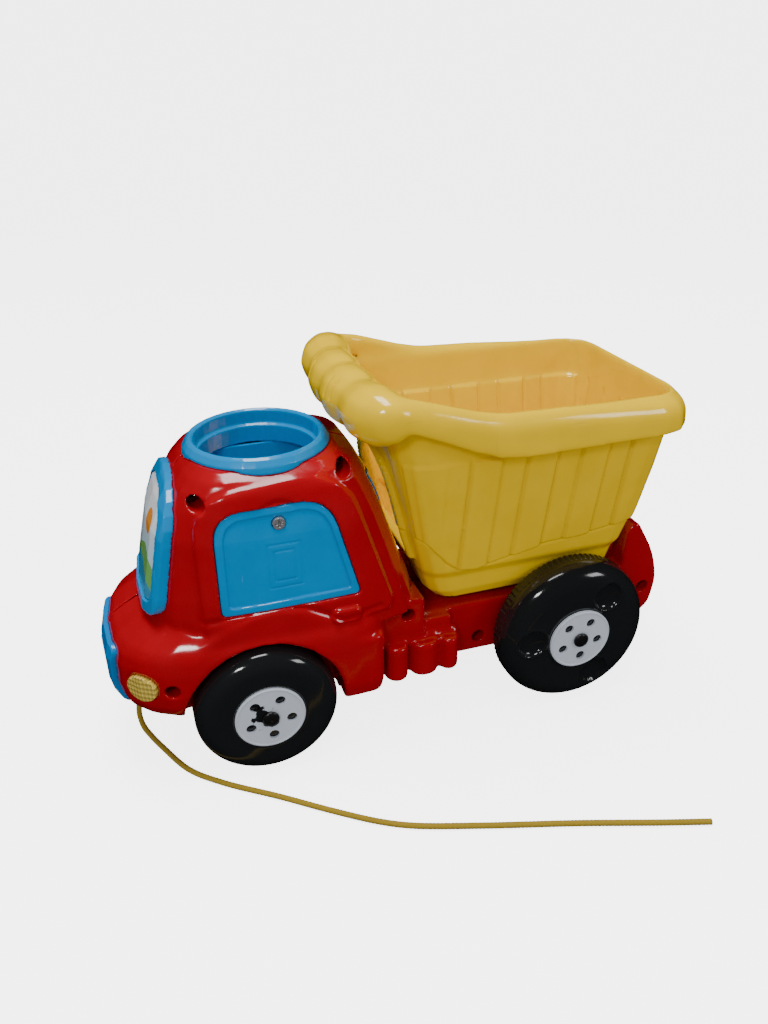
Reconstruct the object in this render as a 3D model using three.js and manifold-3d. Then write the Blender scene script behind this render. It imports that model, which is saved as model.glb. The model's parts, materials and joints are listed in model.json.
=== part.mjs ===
// Ride-along tip-up toy truck: a pull-cord truck whose cab funnel feeds balls into a tipping bed.
// Millimetres, +X towards the nose, +Y to the truck's left, +Z up, ground at z = 0.
import * as THREE from 'three';
import { mergeVertices } from 'three/addons/utils/BufferGeometryUtils.js';
import Module from 'manifold-3d';

const wasm = await Module();
wasm.setup();

// ---------- driving dimensions ----------
const WALL = 2.6; // moulded wall of the red shells
const GAP = 0.35; // running and fitting gap between neighbours
const RING_POINTS = 24;
const CORNER_POINTS = 4;

const AXLE_RADIUS = 2.5;
const FRONT_WHEEL = {
  x: 88, z: 41.8, radius: 41.8, face: 64.8, inner: 38, shoulder: 11, boss: 66.6, dimples: false,
};
const REAR_WHEEL = {
  x: -109.6, z: 49.6, radius: 49.6, face: 62.4, inner: 41, shoulder: 13, boss: 65.4, dimples: true,
};
const DISC_RADIUS = 20.4;
const DISC_THICKNESS = 1.6;
const DISC_HOLE_RADIUS = 3;
const DISC_HOLE_CIRCLE = 12.6;
const CAP_RADIUS = 4.9;

const FUNNEL = { x: 73.2, z: 186.8, radius: 42, mouth: 35, bore: 33 };
const CHUTE_HALF = 32; // half width of the ball chute outside
const CHUTE_WALL = 2.4;
const CHUTE_TOP = 170; // open top of the chute, just under the funnel's bore

const HINGE = { x: -162, z: 98, radius: 2.5, half: 31 };
const HORN_INNER = 22; // inner face of each tail horn
const TAIL_HALF = 37;
const RAIL_HALF = 37.5;
const RAIL_TOP = 73.5;
const RAIL_BOTTOM = 37;

const BED_WALL = 2.6;
const BALL_ARCH = { half: 29, sill: 114, spring: 146 }; // opening in the bed's front wall

// Slide switch in the floor behind the front axle: travel is across the truck.
const SWITCH = { x: 36, slotHalf: 7.4, travel: 8 };
const CORD_RADIUS = 1.75;
const CORD_EXIT = { x: 156.5, z: 35 };
const RIM_SIDE_POINTS = 9; // points along each side of the rim, which follow its curve
const CENTRE_SHIFT = 2.6; // puts the origin midway between nose and tail
const SCREWS = [
  [113.5, 170.5, 'cab_front'],
  [34, 178.5, 'cab_rear'],
  [139, 66, 'headlight'],
  [-1.5, 80, 'step'],
  [-52, 47, 'rail'],
  [-170, 60, 'tail'],
];

// ---------- materials ----------
const paint = (color, roughness = 0.25, metalness = 0) =>
  new THREE.MeshStandardMaterial({ color, roughness, metalness });
const RED = paint(0xc8141e);
const BLUE = paint(0x0a7fc8);
const GRILLE_BLUE = paint(0x2fa8e0);
const YELLOW = paint(0xf5c40c);
const AMBER = paint(0xe8b84a, 0.3);
const BLACK = paint(0x0c0d0e, 0.18);
const WHITE = paint(0xf0f2f4, 0.35);
const DISC_WHITE = paint(0xd6dde4, 0.35);
const STEEL = paint(0xb8bcc0, 0.35, 1);
const GREEN = paint(0x1f6b3a, 0.6);
const GREY = paint(0x55585c, 0.5);
const CELL = paint(0xb98a2c, 0.35);
const ROPE = paint(0xd8a81c, 0.85);

// ---------- solid helpers ----------
function toSolid(geometry) {
  const bare = geometry.clone();
  bare.deleteAttribute('normal');
  bare.deleteAttribute('uv');
  const merged = mergeVertices(bare, 1e-4);
  const points = merged.attributes.position.array;
  const index = [...merged.index.array];
  return new wasm.Manifold(new wasm.Mesh({
    numProp: 3,
    vertProperties: new Float32Array(points),
    triVerts: new Uint32Array(signedVolume(points, index) > 0 ? index : index.reverse()),
  }));
}

function toGeometry(solid) {
  const mesh = solid.getMesh();
  const geometry = new THREE.BufferGeometry();
  geometry.setAttribute('position', new THREE.BufferAttribute(mesh.vertProperties, 3));
  geometry.setIndex(new THREE.BufferAttribute(mesh.triVerts, 1));
  geometry.computeVertexNormals();
  return geometry;
}

function node(name, shape, material) {
  const mesh = new THREE.Mesh(shape.isBufferGeometry ? shape : toGeometry(shape), material);
  mesh.name = name;
  return mesh;
}

// Closed solid through equal-length rings of [x, y, z]; loop joins the last ring to the first.
function loft(rings, loop = false) {
  const count = rings[0].length;
  const positions = rings.flat(2);
  const index = [];
  const spans = loop ? rings.length : rings.length - 1;
  for (let r = 0; r < spans; r += 1) {
    const next = ((r + 1) % rings.length) * count;
    for (let i = 0; i < count; i += 1) {
      const j = (i + 1) % count;
      index.push(r * count + i, r * count + j, next + j, r * count + i, next + j, next + i);
    }
  }
  if (!loop) {
    for (const [ring, flip] of [[0, true], [rings.length - 1, false]]) {
      const base = ring * count;
      for (let i = 1; i < count - 1; i += 1) {
        const pair = flip ? [base + i + 1, base + i] : [base + i, base + i + 1];
        index.push(base, pair[0], pair[1]);
      }
    }
  }
  const geometry = new THREE.BufferGeometry();
  geometry.setAttribute('position', new THREE.Float32BufferAttribute(positions, 3));
  geometry.setIndex(index);
  return toSolid(geometry);
}

function signedVolume(p, index) {
  let total = 0;
  for (let i = 0; i < index.length; i += 3) {
    const [a, b, c] = [index[i] * 3, index[i + 1] * 3, index[i + 2] * 3];
    total += p[a] * (p[b + 1] * p[c + 2] - p[b + 2] * p[c + 1]);
    total += p[a + 1] * (p[b + 2] * p[c] - p[b] * p[c + 2]);
    total += p[a + 2] * (p[b] * p[c + 1] - p[b + 1] * p[c]);
  }
  return total;
}

function box(x0, x1, y0, y1, z0, z1) {
  const geometry = new THREE.BoxGeometry(x1 - x0, y1 - y0, z1 - z0);
  geometry.translate((x0 + x1) / 2, (y0 + y1) / 2, (z0 + z1) / 2);
  return toSolid(geometry);
}

function rodY(x, z, y0, y1, radius, sides = 16) {
  const geometry = new THREE.CylinderGeometry(radius, radius, y1 - y0, sides);
  geometry.translate(x, (y0 + y1) / 2, z);
  return toSolid(geometry);
}

function rodZ(x, y, z0, z1, radius, sides = 32) {
  const geometry = new THREE.CylinderGeometry(radius, radius, z1 - z0, sides);
  geometry.rotateX(Math.PI / 2);
  geometry.translate(x, y, (z0 + z1) / 2);
  return toSolid(geometry);
}

function latheZ(profile, x, y, sides = 40) {
  const geometry = new THREE.LatheGeometry(profile.map(([r, z]) => new THREE.Vector2(r, z)), sides);
  geometry.rotateX(Math.PI / 2);
  geometry.translate(x, y, 0);
  return toSolid(geometry);
}

// Profile of [radius, y] turned about an axle along Y.
function latheY(profile, x, z, sides = 40) {
  const geometry = new THREE.LatheGeometry(profile.map(([r, y]) => new THREE.Vector2(r, y)), sides);
  geometry.translate(x, 0, z);
  return toSolid(geometry);
}

// Smooth step from 0 to 1.
const smooth = (t) => {
  const k = Math.min(1, Math.max(0, t));
  return k * k * (3 - 2 * k);
};


// Prism of an [x, z] outline between two y planes.
function prismY(shape, y0, y1, curveSegments = 6) {
  const geometry = new THREE.ExtrudeGeometry(shape, { depth: y1 - y0, bevelEnabled: false, curveSegments });
  geometry.rotateX(Math.PI / 2);
  geometry.translate(0, y1, 0);
  return toSolid(geometry);
}

// Prism of a [y, z] outline between two x planes.
function prismX(shape, x0, x1, curveSegments = 6) {
  const geometry = new THREE.ExtrudeGeometry(shape, { depth: x1 - x0, bevelEnabled: false, curveSegments });
  const basis = new THREE.Matrix4().makeBasis(
    new THREE.Vector3(0, 1, 0), new THREE.Vector3(0, 0, 1), new THREE.Vector3(1, 0, 0),
  );
  geometry.applyMatrix4(basis);
  geometry.translate(x0, 0, 0);
  return toSolid(geometry);
}

// Polygon with rounded corners: every corner is cut by a quadratic bend of the given reach.
function roundedOutline(points, reach) {
  const shape = new THREE.Shape();
  const corners = points.map(([u, v]) => new THREE.Vector2(u, v));
  corners.forEach((corner, i) => {
    const before = corners[(i + corners.length - 1) % corners.length];
    const after = corners[(i + 1) % corners.length];
    const r = Array.isArray(reach) ? reach[i] : reach;
    const start = corner.clone().add(before.clone().sub(corner).setLength(r));
    const end = corner.clone().add(after.clone().sub(corner).setLength(r));
    if (i === 0) shape.moveTo(start.x, start.y);
    else shape.lineTo(start.x, start.y);
    shape.quadraticCurveTo(corner.x, corner.y, end.x, end.y);
  });
  shape.closePath();
  return shape;
}

const unite = (solids) => solids.reduce((sum, solid) => sum.add(solid));
const mirrorY = (solid) => solid.mirror([0, 1, 0]);
const mirrored = (solid) => solid.add(mirrorY(solid));

// ---------- lofted body forms ----------
// One level ring: superellipse halves that share the widest station at xMid.
function levelRing({ z, rear, front, half, xMid, nRear, nFront }) {
  const ring = [];
  for (let i = 0; i < RING_POINTS; i += 1) {
    const angle = (2 * Math.PI * i) / RING_POINTS;
    const c = Math.cos(angle);
    const s = Math.sin(angle);
    const power = 2 / (c > 0 ? nFront : nRear);
    const reach = c > 0 ? front - xMid : xMid - rear;
    ring.push([
      xMid + Math.sign(c) * Math.abs(c) ** power * reach,
      Math.sign(s) * Math.abs(s) ** power * half,
      z,
    ]);
  }
  return ring;
}

// levels: [z, rear x, front x, half width]; grow moves every face outwards.
function levelLoft(levels, shapeOf, grow = 0) {
  return loft(levels.map(([z, rear, front, half], i) => {
    let level = z;
    if (i === 0) level -= grow;
    if (i === levels.length - 1) level += grow;
    return levelRing({ z: level, rear: rear - grow, front: front + grow, half: half + grow, ...shapeOf });
  }));
}

const CAB_SHAPE = { xMid: 84, nRear: 5, nFront: 3 };
const CAB_LEVELS = [
  [84, -12, 146, 56],
  [103, -7, 146, 55.5],
  [116, -2.5, 144, 54.5],
  [131, 2, 140.5, 53],
  [150, 8, 136, 51],
  [164, 13, 130, 48.5],
  [174, 17.5, 123.5, 46.5],
  [180.5, 21.5, 117.5, 43.5],
  [184.6, 31, 112, 36.5],
];
const FENDER_SHAPE = { xMid: 96, nRear: 9, nFront: 2.7 };
const FENDER_LEVELS = [
  [35, 24, 160, 44],
  [39, 20, 164, 49],
  [45, 17, 168.5, 55],
  [52, 16, 171, 59.5],
  [61, 15, 172.5, 61.7],
  [76, 15, 172.5, 62],
  [84, 15, 170, 61.3],
  [89, 15.5, 166, 60],
  [94, 17, 158.5, 57],
  [98, 20, 151, 53.5],
  [101, 25, 143, 48],
];
const SKIRT_SHAPE = { xMid: 34, nRear: 7, nFront: 7 };
const SKIRT_LEVELS = [
  [37, 19, 58, 56],
  [40, 16, 60, 59.5],
  [48, 15, 60, 61.5],
  [80, 15, 60, 61.5],
];
const HUMP = { x: 82, z: 41.8, radius: 64, half: 59.5 }; // fender crown over each front wheel

// Bed levels: [z, rear x, front x, half width, corner radius]
const BED_LEVELS = [
  [77, -131, -32, 30, 8],
  [79.5, -139, -24, 35.5, 12],
  [86, -144.5, -18, 38.6, 13],
  [97, -148, -14, 39.8, 14],
  [103, -150.5, -12, 44, 15],
  [125, -156, -5.5, 48.4, 16],
  [155, -160, 1.5, 54, 17],
  [186, -162.5, 8.5, 60, 18],
  [206, -163, 12, 62, 18],
];

// Level ring with round corners, for the bed and its rim.
// Rounded rectangle in plan. sidePoints adds points along the two long sides.
function cornerRing(z, rear, front, half, radius, sidePoints = 0) {
  const ring = [];
  const taperAt = (x) => 1 - 0.03 * smooth((-x - 40) / 120);
  const corners = [
    [front - radius, half - radius, 0], [rear + radius, half - radius, 1],
    [rear + radius, -half + radius, 2], [front - radius, -half + radius, 3],
  ];
  for (const [x, y, quarter] of corners) {
    for (let i = 0; i < CORNER_POINTS; i += 1) {
      const angle = (Math.PI / 2) * (quarter + i / (CORNER_POINTS - 1));
      const px = x + radius * Math.cos(angle);
      ring.push([px, (y + radius * Math.sin(angle)) * taperAt(px), z]);
    }
    if (quarter % 2 === 0) {
      const along = quarter === 0 ? [front - radius, rear + radius] : [rear + radius, front - radius];
      for (let i = 1; i <= sidePoints; i += 1) {
        const px = along[0] + ((along[1] - along[0]) * i) / (sidePoints + 1);
        ring.push([px, (quarter === 0 ? half : -half) * taperAt(px), z]);
      }
    }
  }
  return ring;
}

function bedLoft(grow) {
  return loft(BED_LEVELS.map(([z, rear, front, half, radius], i) => {
    const level = i === 0 ? z - grow : z;
    return cornerRing(level, rear - grow, front + grow, half + grow, Math.max(2, radius + grow));
  }));
}

const cab = (grow) => levelLoft(CAB_LEVELS, CAB_SHAPE, grow);
const fender = (grow) => levelLoft(FENDER_LEVELS, FENDER_SHAPE, grow);
const skirt = (grow) => levelLoft(SKIRT_LEVELS, SKIRT_SHAPE, grow);

// Rounded crown of the fender above each front wheel, held inside the nose plan.
function humps(grow) {
  const crown = mirrored(rodY(HUMP.x, HUMP.z, 30, HUMP.half + grow, HUMP.radius + grow, 36));
  const plan = levelLoft([[62, 17, 168, 61], [112, 20, 160, 57.5]], FENDER_SHAPE, grow);
  return crown.intersect(plan);
}

// ---------- outlines on the cab ----------
const DOOR_OUTLINE = roundedOutline(
  [[107.8, 108], [107.2, 166], [45, 167.5], [29.8, 108.5]], [4, 16, 17, 4],
);
const DOOR_OPENING = roundedOutline(
  [[108.2, 107.6], [107.6, 166.4], [44.7, 167.9], [29.4, 108.1]], [4, 16, 17, 4],
);
const DOOR_FIELD = roundedOutline(
  [[103.4, 112], [102.8, 162], [47.4, 163.3], [34.6, 112.4]], [3, 13, 14, 3],
);
const SURROUND_OUTLINE = roundedOutline(
  [[117.5, 93], [117.5, 176], [36, 182], [8, 93]], [8, 26, 26, 8],
);
const SCREEN_FRAME_OUTLINE = roundedOutline(
  [[-41, 103.5], [41, 103.5], [36, 176], [-36, 176]], [13, 13, 30, 30],
);
const SCREEN_HOLE_OUTLINE = roundedOutline(
  [[-34.5, 110], [34.5, 110], [30, 170], [-30, 170]], [9, 9, 26, 26],
);
const SCREEN_BUTTON_OUTLINE = roundedOutline(
  [[-34, 110.5], [34, 110.5], [29.5, 169.5], [-29.5, 169.5]], [9, 9, 26, 26],
);
const GRILLE_OUTLINE = roundedOutline([[-25, 39], [25, 39], [31, 84], [-31, 84]], 8);
const GRILLE_OPENING = roundedOutline([[-25.4, 38.6], [25.4, 38.6], [31.4, 84.4], [-31.4, 84.4]], 8);

const HEADLIGHT = { x: 154.5, y: 46.5, z: 66.5, across: 9.6, up: 8.4, turn: Math.PI * 0.29 };

// Oval plug through a front corner, along the headlight's own axis.
function headlightPlug(extra) {
  const geometry = new THREE.CylinderGeometry(1, 1, 30, 28);
  geometry.rotateZ(-Math.PI / 2);
  geometry.scale(1, HEADLIGHT.across + extra, HEADLIGHT.up + extra);
  geometry.rotateZ(HEADLIGHT.turn);
  geometry.translate(HEADLIGHT.x, HEADLIGHT.y, HEADLIGHT.z);
  return toSolid(geometry);
}

// ---------- red clamshell ----------
function tankLobe(x, half, depth, top) {
  const geometry = new THREE.CylinderGeometry(1, 1, top - 38, 16);
  geometry.rotateX(Math.PI / 2);
  geometry.scale(half, 8, 1);
  geometry.translate(x, depth - 8, (top + 38) / 2);
  return toSolid(geometry).add(box(x - half, x + half, 20, depth - 8, 38, top + 3));
}

const TAIL_OUTLINE = roundedOutline(
  [
    [-136, 73.5], [-152, 78], [-153.5, 103.5], [-156.4, 108.4], [-161.5, 109],
    [-175, 86], [-181, 64], [-177, 45], [-168, 38], [-136, 38],
  ],
  [1, 3, 2.4, 2.4, 2.2, 9, 10, 5, 3, 1],
);

function bodyForm() {
  const cabWithSurround = cab(0).add(cab(2.2).intersect(prismY(SURROUND_OUTLINE, -70, 70)));
  const step = box(-12, 20, -46.5, 46.5, 60, 90).add(box(-31, 0, -44, 44, 55, 72));
  const tanks = [[6.5, 7.4, 54.5, 62], [-11.5, 9.1, 54, 61], [-27.5, 6.6, 53, 60.5]];
  const lobes = unite(tanks.map(([x, half, depth, top]) => mirrored(tankLobe(x, half, depth, top))));
  const rail = box(-150, 40, -RAIL_HALF, RAIL_HALF, RAIL_BOTTOM, RAIL_TOP);
  const tail = prismY(TAIL_OUTLINE, -TAIL_HALF, TAIL_HALF)
    .subtract(box(-185, -135, -HORN_INNER, HORN_INNER, RAIL_TOP + 2, 120));
  return unite([cabWithSurround, fender(0), humps(0), skirt(0), step, lobes, rail, tail]);
}

const frontWell = (grow) => mirrored(
  rodY(FRONT_WHEEL.x, FRONT_WHEEL.z, FRONT_WHEEL.inner - 3 - grow, 80, FRONT_WHEEL.radius + 4.5 + grow, 28),
);

function bodyCavity() {
  const nose = unite([cab(-WALL), fender(-WALL), humps(-WALL), skirt(-WALL)]).subtract(frontWell(WALL));
  const middle = box(-150, 42, -RAIL_HALF + WALL, RAIL_HALF - WALL, RAIL_BOTTOM + WALL, RAIL_TOP - WALL);
  const tail = box(-168, -140, -TAIL_HALF + WALL, TAIL_HALF - WALL, 44, RAIL_TOP - WALL);
  return unite([nose, middle, tail]);
}

function bossesAndPosts() {
  const bosses = SCREWS.map(([x, z]) => rodY(x, z, -60, 60, 6.2, 10));
  const axlePosts = [FRONT_WHEEL, REAR_WHEEL].map((wheel) => rodY(wheel.x, wheel.z, -36, 36, 7, 10));
  return unite([...bosses, ...axlePosts]);
}

function bodyCuts() {
  const cuts = [
    frontWell(0),
    rodZ(FUNNEL.x, 0, 150, 200, 36.6),
    prismY(DOOR_OPENING, 30, 70),
    mirrorY(prismY(DOOR_OPENING, 30, 70)),
    prismX(SCREEN_HOLE_OUTLINE, 90, 170),
    prismX(GRILLE_OPENING, 150, 190).subtract(fender(-1.2)),
    headlightPlug(GAP).subtract(fender(-1.8)),
    mirrorY(headlightPlug(GAP).subtract(fender(-1.8))),
    box(-30, 60, -CHUTE_HALF - GAP, CHUTE_HALF + GAP, 113, 171),
    rodZ(CORD_EXIT.x, 0, 20, 39.5, CORD_RADIUS + 0.6, 10),
    box(SWITCH.x - 3.4, SWITCH.x + 3.4, -SWITCH.slotHalf, SWITCH.slotHalf, 30, 39),
  ];
  for (const wheel of [FRONT_WHEEL, REAR_WHEEL]) {
    cuts.push(rodY(wheel.x, wheel.z, -70, 70, AXLE_RADIUS + 0.4));
  }
  cuts.push(rodY(HINGE.x, HINGE.z, -HINGE.half - GAP, HINGE.half + GAP, HINGE.radius + 0.15));
  for (const [x, z] of SCREWS) {
    cuts.push(rodY(x, z, 18, 80, 4.3, 10));
    cuts.push(rodY(x, z, -14, 18, 1.75, 8));
  }
  return unite(cuts);
}

function bodyShells() {
  const form = bodyForm();
  const hollow = form.subtract(bodyCavity()).add(bossesAndPosts().intersect(form));
  const whole = hollow.subtract(bodyCuts());
  return {
    left: whole.intersect(box(-200, 200, GAP / 2, 90, 0, 220)),
    right: whole.intersect(box(-200, 200, -90, -GAP / 2, 0, 220)),
  };
}

// ---------- cab fittings ----------
function funnel() {
  const lip = FUNNEL.z;
  const foot = CHUTE_TOP + 0.4;
  const ring = latheZ([
    [FUNNEL.mouth, lip - 7], [FUNNEL.mouth, lip + 2.6], [FUNNEL.mouth + 1.8, lip + 4],
    [FUNNEL.radius - 3, lip + 2.6], [FUNNEL.radius - 0.8, lip - 0.6], [FUNNEL.radius, lip - 4],
    [FUNNEL.radius - 0.8, lip - 7], [FUNNEL.mouth, lip - 7],
  ], FUNNEL.x, 0, 36);
  const bore = latheZ([
    [FUNNEL.bore, foot], [FUNNEL.bore, lip - 6], [FUNNEL.mouth, lip - 5], [FUNNEL.mouth, lip - 1],
    [FUNNEL.bore + 3, lip - 1], [FUNNEL.bore + 3, foot], [FUNNEL.bore, foot],
  ], FUNNEL.x, 0, 36);
  return ring.subtract(cab(GAP)).add(bore);
}

// Sloping trough from under the funnel to the cab's rear wall, high enough for a 44 mm ball.
function ballChute() {
  const front = FUNNEL.x + 33.7;
  const outer = roundedOutline(
    [[front, CHUTE_TOP], [front, 132], [96, 124], [2.5, 115], [15, CHUTE_TOP]],
    [1, 5, 5, 1, 1],
  );
  const ceiling = CHUTE_TOP - CHUTE_WALL;
  const inner = roundedOutline(
    [
      [front - 2.4, CHUTE_TOP + 9], [front - 2.4, 134], [95, 126.6], [-20, 117.4],
      [-20, ceiling], [34.5, ceiling], [38, CHUTE_TOP + 9],
    ],
    [1, 4, 4, 1, 1, 1, 1],
  );
  const shell = prismY(outer, -CHUTE_HALF, CHUTE_HALF)
    .subtract(prismY(inner, -CHUTE_HALF + CHUTE_WALL, CHUTE_HALF - CHUTE_WALL));
  return shell.intersect(cab(0.2));
}

function screenFrame() {
  const band = cab(4.4).subtract(cab(GAP));
  return band.intersect(prismX(SCREEN_FRAME_OUTLINE, 90, 170)).subtract(prismX(SCREEN_HOLE_OUTLINE, 90, 170));
}

function screenButton() {
  return cab(3).subtract(cab(0)).intersect(prismX(SCREEN_BUTTON_OUTLINE, 90, 170));
}

function grille() {
  const plate = fender(2.2).subtract(fender(-0.8)).intersect(prismX(GRILLE_OUTLINE, 150, 190));
  const slots = [50, 62, 74, 85].map((z) => box(150, 190, -22, 22, z, z + 3.5).subtract(fender(0.6)));
  return plate.subtract(unite(slots));
}

const headlight = () => fender(1.6).subtract(fender(-1.4)).intersect(headlightPlug(0));

function doorPanel() {
  const skin = cab(1.2).subtract(cab(-1.3)).intersect(prismY(DOOR_OUTLINE, 30, 70));
  return skin.subtract(prismY(DOOR_FIELD, 30, 70).subtract(cab(0.2)));
}

const DOOR_SCREW = { x: 72.5, z: 157.5 };

function batteryCover() {
  const boss = rodY(DOOR_SCREW.x, DOOR_SCREW.z, 46.2, 49, 5).intersect(cab(0));
  return doorPanel().add(boss)
    .subtract(rodY(DOOR_SCREW.x, DOOR_SCREW.z, 48.2, 70, 3.9))
    .subtract(rodY(DOOR_SCREW.x, DOOR_SCREW.z, 30, 60, 1.9, 12));
}

function screw(x, z, seat, length, radius) {
  const head = rodY(x, z, seat, seat + 2.4, radius, 12);
  const shank = rodY(x, z, seat - length, seat, 1.35, 6);
  const cross = box(x - 0.5, x + 0.5, seat + 1.2, seat + 3, z - 2.2, z + 2.2)
    .add(box(x - 2.2, x + 2.2, seat + 1.2, seat + 3, z - 0.5, z + 0.5));
  return head.add(shank).subtract(cross);
}

// ---------- wheels ----------
function wheel(spec, sides = 28) {
  const { radius, face, inner, shoulder, boss } = spec;
  const arc = [0, 1 / 3, 2 / 3, 1].map((t) => {
    const angle = (Math.PI / 2) * t;
    return [radius - shoulder + shoulder * Math.sin(angle), face - shoulder + shoulder * Math.cos(angle)];
  });
  const profile = [
    [AXLE_RADIUS + GAP / 3, boss - 3.2], [DISC_RADIUS + 0.5, boss - 3.2], [DISC_RADIUS + 0.5, face],
    ...arc,
    [radius, inner + 1], [radius - 1, inner], [radius - 3.4, inner], [radius - 3.4, face - shoulder],
    [radius - shoulder, face - 3.2], [9, boss - 6.2], [7, inner], [AXLE_RADIUS + GAP / 3, inner],
    [AXLE_RADIUS + GAP / 3, boss - 3.2],
  ];
  let tyre = latheY(profile, spec.x, spec.z, sides);
  if (spec.dimples) {
    for (let i = 0; i < 3; i += 1) {
      const angle = THREE.MathUtils.degToRad(7 + 120 * i);
      const dish = new THREE.SphereGeometry(9, 12, 6);
      dish.scale(1, 0.24, 1);
      dish.translate(spec.x + 33 * Math.cos(angle), face, spec.z + 33 * Math.sin(angle));
      tyre = tyre.subtract(toSolid(dish));
    }
  }
  return tyre;
}

function hubDisc(spec) {
  const shape = new THREE.Shape();
  shape.absarc(0, 0, DISC_RADIUS, 0, 2 * Math.PI);
  const holes = [[0, 0, CAP_RADIUS - 1.2]];
  for (let i = 0; i < 5; i += 1) {
    const angle = THREE.MathUtils.degToRad(48 + 72 * i);
    holes.push([DISC_HOLE_CIRCLE * Math.cos(angle), DISC_HOLE_CIRCLE * Math.sin(angle), DISC_HOLE_RADIUS]);
  }
  for (const [u, v, r] of holes) {
    const hole = new THREE.Path();
    hole.absarc(u, v, r, 0, 2 * Math.PI, true);
    shape.holes.push(hole);
  }
  const y0 = spec.boss - 2.8;
  const disc = prismY(shape, y0, y0 + DISC_THICKNESS, 6);
  return disc.translate([spec.x, 0, spec.z]);
}

function axleCap(spec) {
  const y0 = spec.boss - 0.9;
  const profile = [
    [0, y0], [CAP_RADIUS, y0], [CAP_RADIUS, y0 + 1], [CAP_RADIUS - 1.4, y0 + 2.2], [0, y0 + 2.6],
  ];
  return latheY(profile, spec.x, spec.z, 20);
}

function wheelSet(spec, prefix) {
  const side = (name, solid, material) => [
    node(`${prefix}_${name}_left`, solid, material),
    node(`${prefix}_${name}_right`, mirrorY(solid), material),
  ];
  const half = spec.boss - 1.3;
  return [
    ...side('wheel', wheel(spec), BLACK),
    ...side('hub_disc', hubDisc(spec), DISC_WHITE),
    ...side('axle_cap', axleCap(spec), BLACK),
    node(`${prefix}_axle`, rodY(spec.x, spec.z, -half, half, AXLE_RADIUS), STEEL),
  ];
}

// ---------- tipping bed ----------
// Rim: a skirted lip round the top of the bed that climbs towards the front canopy.
function rimLayer(rear, front, half, radius, heightAt) {
  return cornerRing(0, rear, front, half, radius, RIM_SIDE_POINTS).map(([x, y]) => [x, y, heightAt(x)]);
}

function rim() {
  const climb = (x) => smooth((x + 56) / 74);
  const top = (x) => 208.8 - 5.5 * smooth((-x - 60) / 100) + 16 * climb(x);
  const bottom = (x) => 184.5 + 23 * climb(x);
  const layers = [
    rimLayer(-161.5, 11, 60.8, 17, (x) => bottom(x) + 3),
    rimLayer(-161, 11.5, 60.5, 17, (x) => top(x) - 3.5),
    rimLayer(-163, 14, 62.8, 19, top),
    rimLayer(-166.5, 19, 67, 22, (x) => top(x) - 1.6),
    rimLayer(-170, 23, 70.4, 24, (x) => top(x) - 8),
    rimLayer(-171, 24, 71, 25, bottom),
    rimLayer(-168.4, 21.4, 68.4, 23, bottom),
    rimLayer(-167.4, 20.4, 67.6, 22, (x) => top(x) - 9),
    rimLayer(-164.2, 16, 63.6, 20, (x) => top(x) - 5),
  ];
  return loft(layers, true);
}

function canopySection(y, x, z, rx, rz) {
  const ring = [];
  for (let i = 0; i < 10; i += 1) {
    const angle = (2 * Math.PI * i) / 10;
    ring.push([x + rx * Math.cos(angle), y, z + rz * Math.sin(angle)]);
  }
  return ring;
}

const CANOPY_HALF = [
  [0, 21.5, 210.5, 14.5, 15], [9, 22, 210.5, 16.5, 16.8], [20, 21.5, 210.5, 16.5, 16.8],
  [31, 20, 210.5, 14.5, 15], [38, 19.5, 211, 15.5, 15.5], [48, 18.5, 211.4, 17, 16.2],
  [59, 16.5, 211.5, 15.5, 15], [67, 13, 212, 10.5, 10.5], [70, 11, 212, 5, 5],
];

function canopy(shrink = 0, drop = 0) {
  const whole = [...CANOPY_HALF.slice(1).reverse().map(([y, ...rest]) => [-y, ...rest]), ...CANOPY_HALF];
  const scaled = whole.map(([y, x, z, rx, rz]) => {
    const pinch = shrink && Math.abs(y) > 66 ? 0.6 : 1;
    const [thin, low] = [(rx - shrink) * pinch, (rz - shrink) * pinch];
    return canopySection(y * (1 - shrink / 70), x - drop / 3, z - drop, thin, low);
  });
  return loft(scaled);
}

function archShape(grow) {
  const { half, sill, spring } = BALL_ARCH;
  const shape = new THREE.Shape();
  shape.moveTo(-half - grow, sill - grow);
  shape.lineTo(half + grow, sill - grow);
  shape.lineTo(half + grow, spring);
  shape.absarc(0, spring, half + grow, 0, Math.PI, false);
  shape.closePath();
  return shape;
}

const LUG_OUTLINE = roundedOutline(
  [[-142, 88], [-142, 104], [-157, 105], [-167.5, 103.5], [-167.5, 93], [-152, 87]], [1, 1, 4, 4, 4, 4],
);

function tippingBed() {
  const [, rearFoot, frontFoot, halfFoot] = BED_LEVELS[2];
  const insideRings = BED_LEVELS.slice(2).map(([z, rear, front, half, radius]) => (
    cornerRing(z, rear + BED_WALL, front - BED_WALL, half - BED_WALL, radius - BED_WALL)
  ));
  insideRings.unshift(cornerRing(80, rearFoot + 8, frontFoot - 8, halfFoot - 7, 8));
  insideRings.push(cornerRing(216, -160.4, 9.4, 59.4, 16));
  const collar = prismX(archShape(4), -40, 60, 10)
    .intersect(bedLoft(3.4).subtract(bedLoft(-1)))
    .intersect(box(-40, 60, -60, 60, 100, 181));
  const lugs = prismY(LUG_OUTLINE, -17, 17).subtract(box(-200, -150.5, -8, 8, 60, 130));
  const doorway = prismX(archShape(0), -40, 60, 10).intersect(box(-40, 60, -60, 60, 100, 200));
  return unite([bedLoft(0), rim(), lugs])
    .subtract(loft(insideRings))
    .add(canopy().subtract(canopy(2.6, 3)))
    .add(collar)
    .subtract(doorway)
    .subtract(rodY(HINGE.x, HINGE.z, -60, 60, HINGE.radius + GAP));
}

// ---------- inner works ----------
function batteryBox() {
  const tray = box(36, 104, 32.6, 46.5, 112, 150).subtract(box(38, 102, 34.6, 50, 114, 148));
  return tray.add(box(44.5, 95.2, 34.6, 40, 130.4, 131.6));
}

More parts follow.
